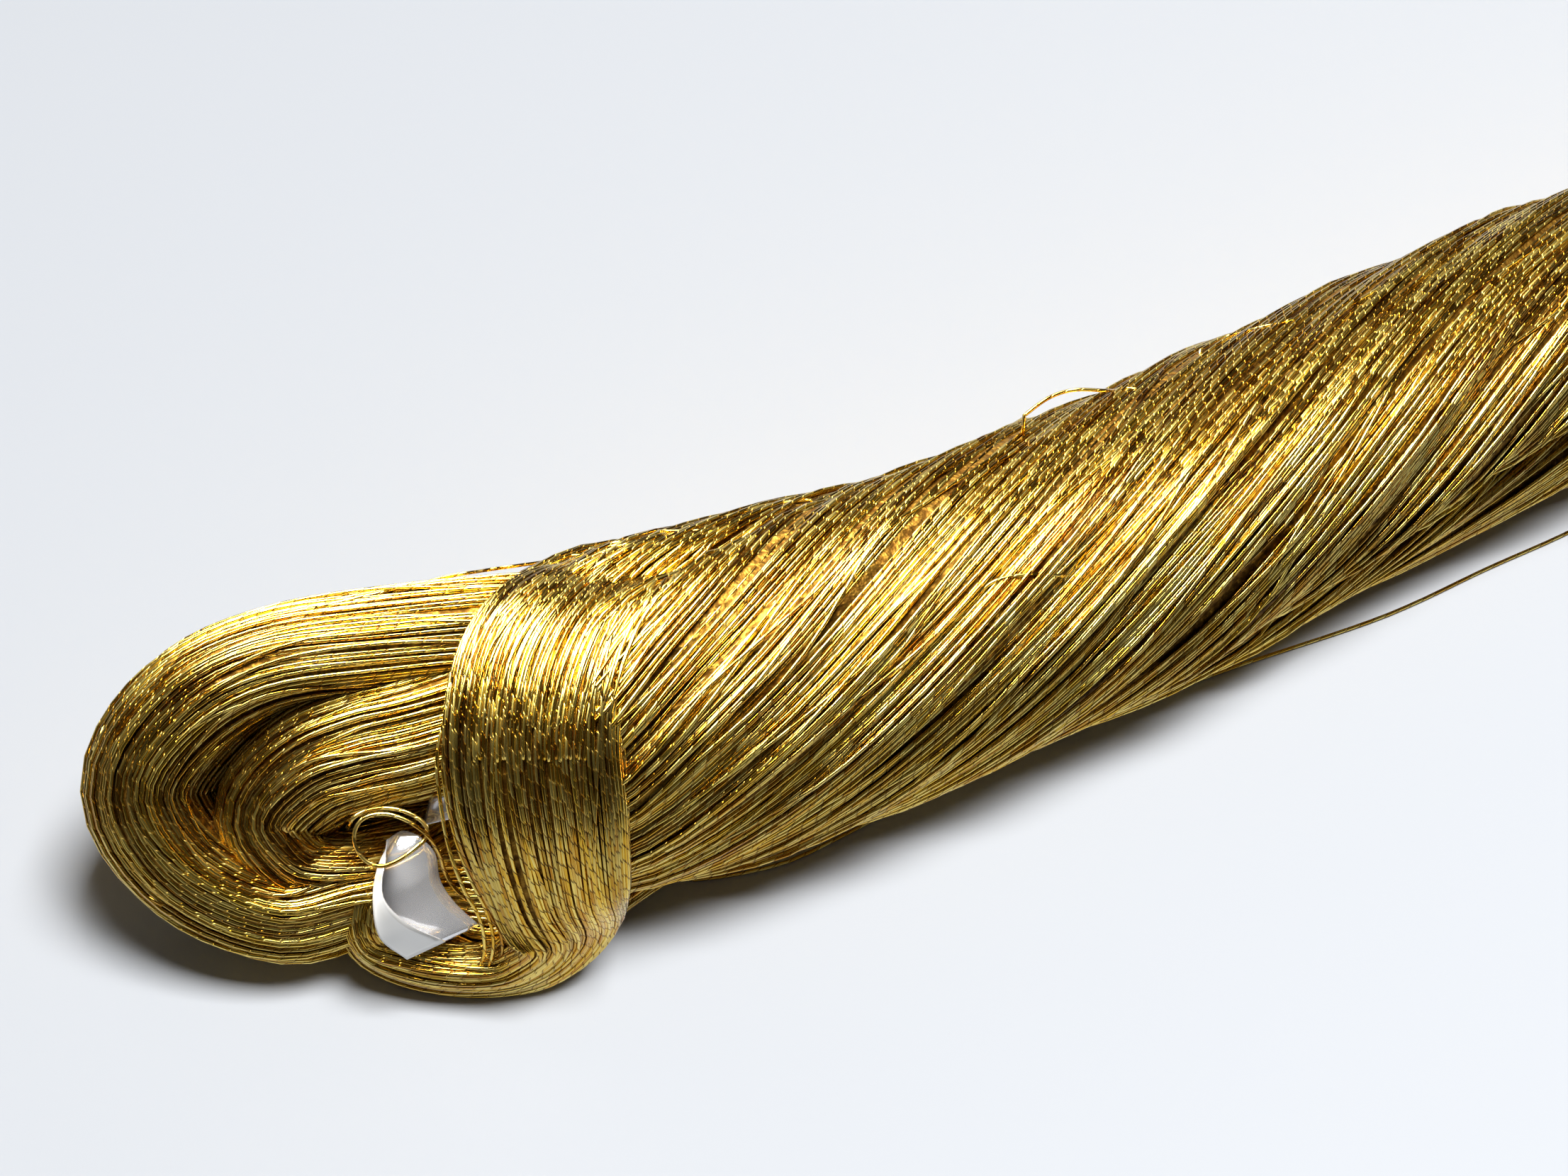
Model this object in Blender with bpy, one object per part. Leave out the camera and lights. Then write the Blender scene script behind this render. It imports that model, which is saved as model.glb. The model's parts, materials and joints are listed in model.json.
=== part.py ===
"""A twisted hank of gold metallic embroidery thread, lying on a table.

The hank is one thick bundle of thread folded in two: both halves are twisted round each other
as two plies and meet in a fold at the right end. At the left end they run into a loop of two
bundles round a small eye. A flat band of the same thread wraps down over the front, turns
under and goes back up into the eye, which locks the twist. A metallised strip is tied in the
eye, one thread end curls there, and one slack thread lies along the front of the hank.

Metres, +Z up. +X runs along the hank from the loop to the fold, and the front is -Y.
The origin is the middle of the hank's footprint, on the table.
"""

from collections import namedtuple
from math import cos, pi, radians, sin, tau

import bmesh
import bpy
import numpy as np
from mathutils import Vector

MM = 0.001

# Driving sizes, in millimetres and degrees.
THREAD_DIAMETER = 0.32
PLY_OVERLAP = 0.8
PLY_ROUNDNESS = 4.0
PLY_OFFSET = 0.424
BUNDLES_PER_PLY = 9
BUNDLE_RELIEF = 0.5
BUNDLES_PER_LOOP = 5
LOOP_RELIEF = 0.3
CREASE_SHARE = 0.6
BURIED_SIDE = -0.5
LOOP_TURN = 0.5
BAND_ROUNDNESS = 3.0
FOLD_CENTRE = 81.0
FOLD_SQUASH = 0.82
FOLD_SLOT = 0.4
FOLD_CORE = (1.4, 1.4, 6.5)
STRIP_THICKNESS = 1.0
TABLE_GAP = 0.02
TO_CENTRE = (3.95, -0.3)

# The loop and the band are laid out on a plane that leans back and is turned from the hank.
LEAN_ORIGIN = (-46.0, 2.0, 16.3)
LEAN_TURN = 26.5
LEAN_TILT = 50.0

# Mesh steps.
PLY_STEP = 3.8
PLY_SIDES = 36
LOOP_SIDES = 20
FOLD_STEPS = 10
CORD_STEP = 1.9
AXIS_READINGS = 8
LOOP_READINGS = 3
STRIP_READINGS = 4
CORD_READINGS = 12

Axis = namedtuple("Axis", "x y z radius ply_angle lay_front lay_back")
Bundle = namedtuple("Bundle", "along rise toward half_width half_thick")
Ribbon = namedtuple("Ribbon", "along rise toward half_width half_thick out_along out_rise out_toward")

# Sections down the body: its middle, its radius, the angle of the front ply above the front
# horizontal, and how fast the threads turn in each ply, in degrees for each millimetre.
AXIS = (
    Axis(-71, -0.4, 13.2, 8.6, 0, 1.6, 1.4),
    Axis(-68, -0.6, 12.8, 11.6, 4, 1.6, 1.4),
    Axis(-61, -1.1, 12.4, 12.9, 13, 1.6, 1.2),
    Axis(-48, -2.6, 12.2, 12.7, 32, 1.6, 1.0),
    Axis(-20, -2.8, 11.6, 12.1, 67, 1.6, 0.8),
    Axis(12, 0.2, 11.2, 11.7, 95, 1.6, 0.8),
    Axis(29, 1.2, 11.1, 11.6, 108, 1.6, 0.8),
    Axis(54, 1.6, 10.6, 11.1, 137, 1.6, 1.0),
    Axis(81, 1.0, 10.2, 10.7, 172, 1.6, 1.6),
)

# The outer bundle of the end loop, from inside the back ply round to inside the front ply.
OUTER_LOOP = (
    Bundle(-9, -2.8, 1, 4.5, 5.5),
    Bundle(-19, -2.9, 6, 3.8, 5.5),
    Bundle(-28.9, -4.0, 7, 3.9, 5.5),
    Bundle(-37.7, -5.6, 7, 3.9, 5.5),
    Bundle(-43.5, -9.2, 7, 4.6, 5.5),
    Bundle(-46.7, -14.8, 7, 4.6, 5.3),
    Bundle(-43.5, -20.5, 6.0, 4.3, 5.2),
    Bundle(-37.0, -23.5, 5.2, 4.0, 5.0),
    Bundle(-31.0, -22.2, 4.6, 3.9, 5.0),
    Bundle(-25.5, -21.7, 2.6, 5.2, 4.8),
    Bundle(-20.5, -21.0, 2.0, 7.4, 5.5),
    Bundle(-13.0, -15.0, 1.0, 8.0, 7.0),
)

# The inner bundle, curled tightly round the eye.
INNER_LOOP = (
    Bundle(-12, -5.0, 5, 5.0, 4.6),
    Bundle(-25.3, -9.9, 8.0, 4.7, 4.6),
    Bundle(-30.3, -11.3, 8.0, 4.7, 4.6),
    Bundle(-34.8, -13.2, 7.6, 4.5, 4.4),
    Bundle(-37.9, -16.8, 7.0, 4.1, 4.2),
    Bundle(-35.6, -20.4, 6.4, 2.7, 4.0),
    Bundle(-31.5, -20.9, 5.8, 2.3, 3.8),
    Bundle(-27.0, -20.0, 3.5, 2.4, 3.8),
    Bundle(-22.0, -17.0, 1, 2.4, 3.8),
)

# The threads that close the back of the eye.
EYE_BACK = (
    Bundle(-43.5, -15.0, 3.0, 3.2, 2.2),
    Bundle(-38, -16.0, 2.6, 4.4, 2.2),
    Bundle(-32, -17.0, 2.0, 5.0, 2.5),
    Bundle(-24, -16.0, 1.0, 6.0, 3.0),
    Bundle(-18, -12.0, 0.0, 6.0, 4.0),
)

# The band that locks the hank, from behind the body over the top, down the front, under and up.
BAND = (
    Ribbon(-8.4, -1.6, -5.5, 3.8, 1.2, 0, 0.9, -0.5),
    Ribbon(-10.8, 0.4, 1.5, 4.2, 1.2, 0, 1, 0.1),
    Ribbon(-13.4, -0.2, 7.8, 4.7, 1.2, 0, 0.8, 0.6),
    Ribbon(-15.9, -2.6, 12.2, 5.5, 1.2, 0, 0.55, 0.8),
    Ribbon(-17.3, -6.2, 14.8, 6.0, 1.2, 0, 0.3, 1),
    Ribbon(-17.7, -11.2, 16.0, 6.1, 1.2, 0, 0, 1),
    Ribbon(-17.2, -16.7, 15.0, 6.0, 1.2, 0, -0.3, 1),
    Ribbon(-16.4, -22.0, 11.9, 5.2, 1.3, 0, -0.6, 0.8),
    Ribbon(-16.2, -25.2, 8.6, 4.1, 1.4, 0.4, -0.8, 0.5),
    Ribbon(-19.0, -27.7, 6.4, 3.3, 1.5, 0.1, -0.93, 0.4),
    Ribbon(-22.8, -28.5, 5.6, 2.8, 1.5, 0, -0.93, 0.4),
    Ribbon(-27.4, -28.0, 5.4, 2.6, 1.5, -0.2, -0.9, 0.4),
    Ribbon(-30.8, -26.4, 6.0, 2.6, 1.3, -0.7, -0.6, 0.4),
    Ribbon(-31.3, -23.4, 7.0, 2.8, 1.2, -0.9, 0.1, 0.45),
    Ribbon(-29.2, -20.4, 5.6, 3.0, 1.3, -0.6, 0.5, 0.6),
    Ribbon(-26.5, -17.4, 2.6, 3.0, 1.3, -0.5, 0.5, 0.7),
    Ribbon(-23.0, -14.4, 0.0, 3.0, 1.3, -0.5, 0.5, 0.7),
)

# The metallised strip tied in the eye: three points across it at each section, on the leaning
# plane, from its near edge past its fold to its far edge.
STRIP = (
    ((-29.0, -18.4, 9.8), (-28.0, -17.8, 8.9), (-26.7, -18.1, 9.2)),
    ((-28.8, -19.6, 11.4), (-29.2, -20.1, 10.5), (-25.5, -19.4, 9.4)),
    ((-28.8, -22.2, 12.4), (-29.5, -22.6, 11.2), (-25.1, -21.4, 9.4)),
    ((-27.0, -24.2, 12.2), (-29.2, -25.3, 10.8), (-24.0, -23.1, 9.2)),
    ((-24.5, -25.6, 11.0), (-27.5, -27.1, 9.6), (-22.3, -24.7, 9.0)),
)

# The strip's other end, which goes away under the band.
STRIP_TAIL = (
    ((-26.4, -17.4, 8.8), (-26.3, -16.7, 8.6), (-25.9, -15.3, 9.0)),
    ((-24.9, -17.0, 9.6), (-24.8, -16.2, 9.5), (-24.4, -15.0, 10.0)),
    ((-22.8, -16.4, 10.4), (-22.7, -15.8, 10.3), (-22.3, -14.8, 10.7)),
)

# The slack thread, in millimetres: out of the hank, along the table in front of it, and back.
LOOSE_THREAD = (
    (-62.5, -7.2, 0.3), (-60.4, -8.7, 0.2), (-58.0, -9.8, 0.2), (-52.5, -11.0, 0.2),
    (-46.4, -10.7, 0.2), (-39.8, -10.1, 0.2), (-28.9, -9.6, 0.2), (-19.8, -9.9, 0.2),
    (-10.3, -10.3, 0.2), (1.4, -11.2, 0.2), (7.3, -11.3, 0.2), (15.1, -10.9, 0.2),
    (23.7, -10.7, 0.2), (30.0, -10.0, 0.2), (35.0, -8.3, 0.4), (39.5, -5.9, 1.0),
)

# The curled thread end, on the leaning plane: out of the eye, once round, and along the strip.
CURLED_END = (
    (-32.1, -17.6, 8.0), (-31.9, -17.5, 9.4), (-31.5, -17.2, 10.8), (-31.1, -16.6, 11.6),
    (-30.2, -16.1, 11.3), (-28.6, -15.9, 11.4), (-27.0, -16.3, 11.5), (-25.9, -17.1, 11.6),
    (-25.8, -18.0, 11.7), (-26.5, -18.7, 12.0), (-27.6, -19.5, 12.3), (-28.9, -20.0, 12.4),
    (-30.1, -19.6, 12.2), (-30.8, -18.5, 11.9), (-30.8, -17.4, 11.8), (-30.1, -16.5, 11.9),
    (-28.6, -16.2, 12.0), (-27.0, -16.7, 12.1), (-25.9, -17.7, 11.8), (-25.1, -19.1, 11.0),
    (-24.7, -20.6, 10.2), (-24.1, -21.8, 9.8), (-23.2, -22.8, 9.5),
)


def smooth(rows, steps):
    """Rows read from a Catmull-Rom curve through the given rows, that many to each span."""
    rows = np.array(rows, float)
    padded = np.vstack([2 * rows[0] - rows[1], rows, 2 * rows[-1] - rows[-2]])
    at = np.linspace(0, len(rows) - 1, (len(rows) - 1) * steps + 1)
    span = np.minimum(at.astype(int), len(rows) - 2)
    t = (at - span)[:, None]
    a, b, c, d = (padded[span + k] for k in range(4))
    return b + 0.5 * t * (c - a + t * (2 * a - 5 * b + 4 * c - d + t * (3 * (b - c) + d - a)))


def lean_axes():
    """The leaning plane's three directions: along it, up its slope, and out of it to the front."""
    turn, tilt = radians(LEAN_TURN), radians(LEAN_TILT)
    along = np.array([cos(turn), -sin(turn), 0])
    level = np.array([sin(turn), cos(turn), 0])
    up = np.array([0, 0, 1])
    return along, level * sin(tilt) + up * cos(tilt), up * sin(tilt) - level * cos(tilt)


def from_lean(rows):
    """Points in millimetres from their places on the leaning plane."""
    return np.array(LEAN_ORIGIN) + np.asarray(rows) @ np.array(lean_axes())


def unit(vectors):
    return vectors / np.linalg.norm(vectors, axis=-1, keepdims=True)


def tube(centres, outward, turn, profile, sides):
    """Rings of points round a line. The profile gives each ring's radii at angles from outward."""
    tangent = unit(np.gradient(centres, axis=0))
    out = unit(outward - (outward * tangent).sum(1, keepdims=True) * tangent)
    side = np.cross(tangent, out)
    seat = np.arange(sides) * tau / sides
    angle = seat[None, :] + np.asarray(turn)[:, None]
    radius, squash = profile(angle, seat)
    return (
        centres[:, None]
        + (radius * np.cos(angle))[..., None] * out[:, None]
        + (radius * squash * np.sin(angle))[..., None] * side[:, None]
    )


def relief(seat, count, depth):
    """How far the small bundles in a ply stand out, with a crease between each two."""
    return depth * (np.abs(np.sin(seat * count / 2)) - CREASE_SHARE)


def ply_rings():
    """Both plies as one bundle: down the front ply, round the fold and back up the back ply."""
    rows = smooth(AXIS, AXIS_READINGS)
    x = rows[:, 0]
    down = np.arange(x[0], FOLD_CENTRE, PLY_STEP)
    bend = np.radians(np.linspace(0, 180, FOLD_STEPS))
    place = np.concatenate([down, np.full(len(bend), FOLD_CENTRE), down[::-1]])
    swing = np.concatenate([np.zeros(len(down)), bend, np.full(len(down), pi)])
    y, z, radius, ply_angle = (np.interp(place, x, rows[:, k]) for k in (1, 2, 3, 4))
    lay_front, lay_back = (np.interp(place, x, rows[:, k]) for k in (5, 6))
    lay = np.where(swing < pi / 2, lay_front, lay_back)
    offset = PLY_OFFSET * radius
    facing = np.radians(ply_angle)
    radial = np.stack([np.zeros_like(facing), -np.cos(facing), np.sin(facing)], axis=1)
    outward = np.cos(swing)[:, None] * radial + np.sin(swing)[:, None] * np.array([1, 0, 0])
    middle = np.stack([place, y, z], axis=1)
    centres = middle + offset[:, None] * outward
    run = np.concatenate([[0], np.cumsum(np.linalg.norm(np.diff(centres, axis=0), axis=1))])
    turn = -np.radians(np.concatenate([[0], np.cumsum(np.diff(run) * lay[1:])]))
    squash = 1 - (1 - FOLD_SQUASH) * np.sin(swing)
    overlap = np.where(place < FOLD_CENTRE, PLY_OVERLAP, -FOLD_SLOT)

    def profile(angle, seat):
        r, h = radius[:, None], offset[:, None]
        disc = np.sqrt(r**2 - (h * np.sin(angle)) ** 2) - h * np.cos(angle)
        flat = (h + overlap[:, None] / 2) / np.maximum(-np.cos(angle), 1e-3)
        both = (disc**-PLY_ROUNDNESS + flat**-PLY_ROUNDNESS) ** (-1 / PLY_ROUNDNESS)
        proud = relief(seat, BUNDLES_PER_PLY, BUNDLE_RELIEF) * (np.cos(angle) > BURIED_SIDE)
        return both + proud, squash[:, None]

    return tube(centres, outward, turn, profile, PLY_SIDES)


def loop_rings(table):
    """A round bundle that follows a table of sections on the leaning plane."""
    rows = smooth(table, LOOP_READINGS)
    centres = from_lean(rows[:, :3])
    outward = np.tile(lean_axes()[2], (len(rows), 1))
    run = np.concatenate([[0], np.cumsum(np.linalg.norm(np.diff(centres, axis=0), axis=1))])

    def profile(angle, seat):
        wide, thick = rows[:, 3:4], rows[:, 4:5]
        radius = 1 / np.sqrt((np.sin(angle) / wide) ** 2 + (np.cos(angle) / thick) ** 2)
        return radius + relief(seat, BUNDLES_PER_LOOP, LOOP_RELIEF), 1.0

    return tube(centres, outward, np.radians(LOOP_TURN * run), profile, LOOP_SIDES)


def band_rings():
    """The flat band: a wide, thin bundle whose face turns as it wraps."""
    rows = smooth(BAND, LOOP_READINGS)
    centres = from_lean(rows[:, :3])
    outward = rows[:, 5:8] @ np.array(lean_axes())

    def profile(angle, seat):
        wide, thick = rows[:, 3:4], rows[:, 4:5]
        x, y = np.abs(np.sin(angle)) / wide, np.abs(np.cos(angle)) / thick
        return (x**BAND_ROUNDNESS + y**BAND_ROUNDNESS) ** (-1 / BAND_ROUNDNESS), 1.0

    return tube(centres, outward, np.zeros(len(rows)), profile, LOOP_SIDES)


def closed_mesh(name, rings):
    """A closed tube through the rings, flat where it meets the table, its ends filled."""
    rings = np.array(rings)
    rings[..., 2] = np.maximum(rings[..., 2], 0)
    shape = bmesh.new()
    loops = [[shape.verts.new(p * MM) for p in ring] for ring in rings]
    count = len(loops[0])
    for near, far in zip(loops, loops[1:]):
        for k in range(count):
            n = (k + 1) % count
            shape.faces.new((near[k], near[n], far[n], far[k]))
    for ring, ends in ((rings[0], loops[0][::-1]), (rings[-1], loops[-1])):
        middle = shape.verts.new(ring.mean(axis=0) * MM)
        for k in range(count):
            shape.faces.new((middle, ends[k], ends[(k + 1) % count]))
    bmesh.ops.recalc_face_normals(shape, faces=shape.faces)
    mesh = bpy.data.meshes.new(name)
    shape.to_mesh(mesh)
    shape.free()
    made = bpy.data.objects.new(name, mesh)
    bpy.context.scene.collection.objects.link(made)
    return made


def sheet(name, table):
    """A thin sheet through a table of three points across at each section."""
    rows = smooth(np.array(table, float).reshape(len(table), 9), STRIP_READINGS)
    across = np.array([smooth(row.reshape(3, 3), STRIP_READINGS) for row in rows])
    shape = bmesh.new()
    grid = [[shape.verts.new(from_lean(p) * MM) for p in line] for line in across]
    for near, far in zip(grid, grid[1:]):
        for k in range(len(near) - 1):
            shape.faces.new((near[k], near[k + 1], far[k + 1], far[k]))
    mesh = bpy.data.meshes.new(name)
    shape.to_mesh(mesh)
    shape.free()
    made = bpy.data.objects.new(name, mesh)
    bpy.context.scene.collection.objects.link(made)
    solid = made.modifiers.new("thickness", "SOLIDIFY")
    solid.thickness = STRIP_THICKNESS * MM
    solid.offset = 0
    return made


def cord(name, points):
    """A thread as a curve with a round bevel, through points read from a smooth line."""
    fine = smooth(points, CORD_READINGS)
    fine[:, 2] = np.maximum(fine[:, 2], THREAD_DIAMETER / 2 + TABLE_GAP)
    run = np.concatenate([[0], np.cumsum(np.linalg.norm(np.diff(fine, axis=0), axis=1))])
    at = np.linspace(0, run[-1], max(2, round(run[-1] / CORD_STEP)) + 1)
    line = np.stack([np.interp(at, run, fine[:, k]) for k in range(3)], axis=1)
    curve = bpy.data.curves.new(name, "CURVE")
    curve.dimensions = "3D"
    curve.bevel_depth = THREAD_DIAMETER / 2 * MM
    curve.bevel_resolution = 2
    curve.use_fill_caps = True
    spline = curve.splines.new("POLY")
    spline.points.add(len(line) - 1)
    for point, place in zip(spline.points, line * MM):
        point.co = (*place, 1)
    made = bpy.data.objects.new(name, curve)
    bpy.context.scene.collection.objects.link(made)
    print(name, "length", round(float(run[-1]), 1), "mm,", len(line), "points")
    return made


def fold_core():
    """A small core where the two plies turn, so that they leave no pocket on the fold's axis."""
    last = AXIS[-1]
    bpy.ops.mesh.primitive_uv_sphere_add(segments=12, ring_count=8, radius=MM)
    made = bpy.context.object
    made.name = "fold_core"
    for vert in made.data.vertices:
        vert.co = Vector([co * half for co, half in zip(vert.co, FOLD_CORE)])
        vert.co += Vector((last.x, last.y, last.z)) * MM
    return made


def join(base, others):
    """Adds each helper to the base and hides it."""
    for other in others:
        other.hide_render = True
        other.display_type = "WIRE"
        union = base.modifiers.new(other.name, "BOOLEAN")
        union.operation = "UNION"
        union.object = other
        union.use_self = True


def keep_outer_skin(piece):
    """Applies the joins and drops the closed pockets that they leave between the bundles."""
    graph = bpy.context.evaluated_depsgraph_get()
    mesh = bpy.data.meshes.new_from_object(piece.evaluated_get(graph))
    piece.modifiers.clear()
    piece.data = mesh
    shape = bmesh.new()
    shape.from_mesh(mesh)
    left = set(shape.verts)
    skins = []
    while left:
        skin, edge = set(), [left.pop()]
        while edge:
            vert = edge.pop()
            skin.add(vert)
            near = {e.other_vert(vert) for e in vert.link_edges} & left
            left -= near
            edge.extend(near)
        skins.append(skin)
    skins.sort(key=len)
    inner = [vert for skin in skins[:-1] for vert in skin]
    bmesh.ops.delete(shape, geom=inner, context="VERTS")
    shape.to_mesh(mesh)
    shape.free()


def finish(name, colour, metallic, roughness):
    """A plain Principled material."""
    made = bpy.data.materials.new(name)
    made.use_nodes = True
    sockets = made.node_tree.nodes["Principled BSDF"].inputs
    sockets["Base Color"].default_value = (*colour, 1)
    sockets["Metallic"].default_value = metallic
    sockets["Roughness"].default_value = roughness
    return made


def main():
    for old in list(bpy.data.objects):
        bpy.data.objects.remove(old)
    hank = closed_mesh("hank", ply_rings())
    others = [
        closed_mesh("outer_loop", loop_rings(OUTER_LOOP)),
        closed_mesh("inner_loop", loop_rings(INNER_LOOP)),
        closed_mesh("eye_back", loop_rings(EYE_BACK)),
        closed_mesh("band", band_rings()),
        fold_core(),
    ]
    join(hank, others)
    keep_outer_skin(hank)
    strips = [sheet("foil_strip", STRIP), sheet("foil_tail", STRIP_TAIL)]
    threads = [cord("loose_thread", LOOSE_THREAD), cord("curled_end", from_lean(CURLED_END))]
    gold = finish("gold_thread", (0.62, 0.40, 0.07), 0.9, 0.35)
    silver = finish("silver_film", (0.75, 0.75, 0.76), 1.0, 0.12)
    for piece in [hank, *strips, *threads]:
        piece.data.materials.append(silver if piece in strips else gold)
    for piece in [hank, *others, *strips, *threads]:
        piece.location = (TO_CENTRE[0] * MM, TO_CENTRE[1] * MM, 0)


main()
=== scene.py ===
import json
from math import cos, pi, radians, sin, sqrt, tau

import bmesh
import bpy
import numpy as np
from mathutils import Matrix, Vector
from mathutils.bvhtree import BVHTree

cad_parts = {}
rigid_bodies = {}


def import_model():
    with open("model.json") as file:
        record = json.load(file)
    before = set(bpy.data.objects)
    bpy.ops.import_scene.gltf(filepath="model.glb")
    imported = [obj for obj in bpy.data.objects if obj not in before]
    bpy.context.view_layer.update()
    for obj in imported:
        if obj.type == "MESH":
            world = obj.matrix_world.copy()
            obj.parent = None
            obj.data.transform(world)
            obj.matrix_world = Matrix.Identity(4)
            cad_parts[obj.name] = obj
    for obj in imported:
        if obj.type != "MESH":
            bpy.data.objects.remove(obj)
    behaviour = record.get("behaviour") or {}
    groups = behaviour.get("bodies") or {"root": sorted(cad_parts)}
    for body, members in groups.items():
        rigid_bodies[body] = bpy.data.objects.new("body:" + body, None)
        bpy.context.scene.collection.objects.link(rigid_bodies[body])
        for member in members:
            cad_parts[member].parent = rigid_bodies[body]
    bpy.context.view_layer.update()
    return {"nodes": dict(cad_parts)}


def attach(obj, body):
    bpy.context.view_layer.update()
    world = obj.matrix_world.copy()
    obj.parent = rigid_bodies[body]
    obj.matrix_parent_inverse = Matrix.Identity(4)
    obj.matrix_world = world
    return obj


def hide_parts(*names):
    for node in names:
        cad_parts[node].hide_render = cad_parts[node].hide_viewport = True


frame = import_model()
scene = bpy.context.scene
for unused in [o for o in bpy.data.objects if o.name in ("Cube", "Light", "Camera")]:
    bpy.data.objects.remove(unused)

# Everything is worked out in millimetres, as the part is, and made in metres.
mm = 0.001
toCentre = np.array((3.95, -0.3, 0.0))
lean = {"origin": (-46.0, 2.0, 16.3), "turn": 26.5, "tilt": 50.0}  # the loop's own plane
thread = {
    "diameter": 0.32, "laid": 0.295,  # a loose cord, and a thread that lies pressed among others
    "sides": 1,  # 1 gives six sides
    "wrap": 1.28,  # one turn of the metal strip
    "offTable": 0.02,
}


def unitRows(vectors):
    return vectors / np.linalg.norm(vectors, axis=-1, keepdims=True)


def smoothRows(rows, steps):  # a smooth curve through the rows
    rows = np.array(rows, float)
    padded = np.vstack([2 * rows[0] - rows[1], rows, 2 * rows[-1] - rows[-2]])
    at = np.linspace(0, len(rows) - 1, (len(rows) - 1) * steps + 1)
    span = np.minimum(at.astype(int), len(rows) - 2)
    t = (at - span)[:, None]
    a, b, c, d = (padded[span + k] for k in range(4))
    return b + 0.5 * t * (c - a + t * (2 * a - 5 * b + 4 * c - d + t * (3 * (b - c) + d - a)))


def leanAxes():  # along the picture, up it, and towards the camera
    turn = radians(lean["turn"])
    tilt = radians(lean["tilt"])
    along = np.array([cos(turn), -sin(turn), 0])
    level = np.array([sin(turn), cos(turn), 0])
    up = np.array([0, 0, 1])
    return np.array([along, level * sin(tilt) + up * cos(tilt), up * sin(tilt) - level * cos(tilt)])


def fromLean(rows):
    return np.array(lean["origin"]) + np.asarray(rows, float) @ leanAxes()


def lengthAlong(points):
    return np.concatenate([[0], np.cumsum(np.linalg.norm(np.diff(points, axis=0), axis=1))])


# Camera first: it looks at the loop's plane square on, as the photograph does.
view = {"distance": 190.0, "lens": 56.74, "sensor": 36, "nearest": 0.005}
right, upward, towards = leanAxes()
eye = (np.array(lean["origin"]) + toCentre + view["distance"] * towards) * mm
cameraData = bpy.data.cameras.new("camera")
cameraData.lens = view["lens"]
cameraData.sensor_width = view["sensor"]
cameraData.clip_start = view["nearest"]
camera = bpy.data.objects.new("camera", cameraData)
scene.collection.objects.link(camera)
facing = np.array([right, upward, towards]).T
camera.matrix_world = Matrix([(*row, place) for row, place in zip(facing, eye)] + [(0, 0, 0, 1)])
scene.camera = camera
print("camera set")


# Shader groups.
def newGroup(name, inputs, outputs):
    group = bpy.data.node_groups.new(name, "ShaderNodeTree")
    for label, kind, value in inputs:
        socket = group.interface.new_socket(label, in_out="INPUT", socket_type="NodeSocket" + kind)
        socket.default_value = value
    for label, kind in outputs:
        group.interface.new_socket(label, in_out="OUTPUT", socket_type="NodeSocket" + kind)
    return group, group.nodes.new("NodeGroupInput"), group.nodes.new("NodeGroupOutput")


class Wiring:  # short calls for a node tree
    def __init__(self, tree):
        self.tree = tree

    def add(self, kind, **settings):
        node = self.tree.nodes.new("ShaderNode" + kind)
        for key, value in settings.items():
            setattr(node, key, value)
        return node

    def link(self, source, target):
        self.tree.links.new(source, target)

    def math(self, operation, *values):
        node = self.add("Math", operation=operation)
        for socket, value in zip(node.inputs, values):
            if isinstance(value, (int, float)):
                socket.default_value = value
            else:
                self.link(value, socket)
        return node.outputs[0]

    def span(self, value, low, high, toLow=0.0, toHigh=1.0):
        node = self.add("MapRange", interpolation_type="SMOOTHSTEP")
        self.link(value, node.inputs["Value"])
        limits = {"From Min": low, "From Max": high, "To Min": toLow, "To Max": toHigh}
        for label, number in limits.items():
            node.inputs[label].default_value = number
        return node.outputs["Result"]

    def mix(self, share, a, b):
        node = self.add("Mix", data_type="RGBA")
        sockets = (node.inputs["Factor"], node.inputs[6], node.inputs[7])  # 6 and 7 take colours
        for socket, value in zip(sockets, (share, a, b)):
            if isinstance(value, (int, float)):
                socket.default_value = value
            elif isinstance(value, tuple):
                socket.default_value = (*value, 1)
            else:
                self.link(value, socket)
        return node.outputs[2]


wrapShape = {
    "stagger": 37.0,  # turns by which a thread's tone moves its seams along
    "shuffle": 911.0,  # keeps one thread's facets unlike the next one's
    "seamFrom": 0.40, "seamTo": 0.5,  # from the middle of a turn to its edge
    "bulge": -0.25, "dip": -0.25,
}


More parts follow.
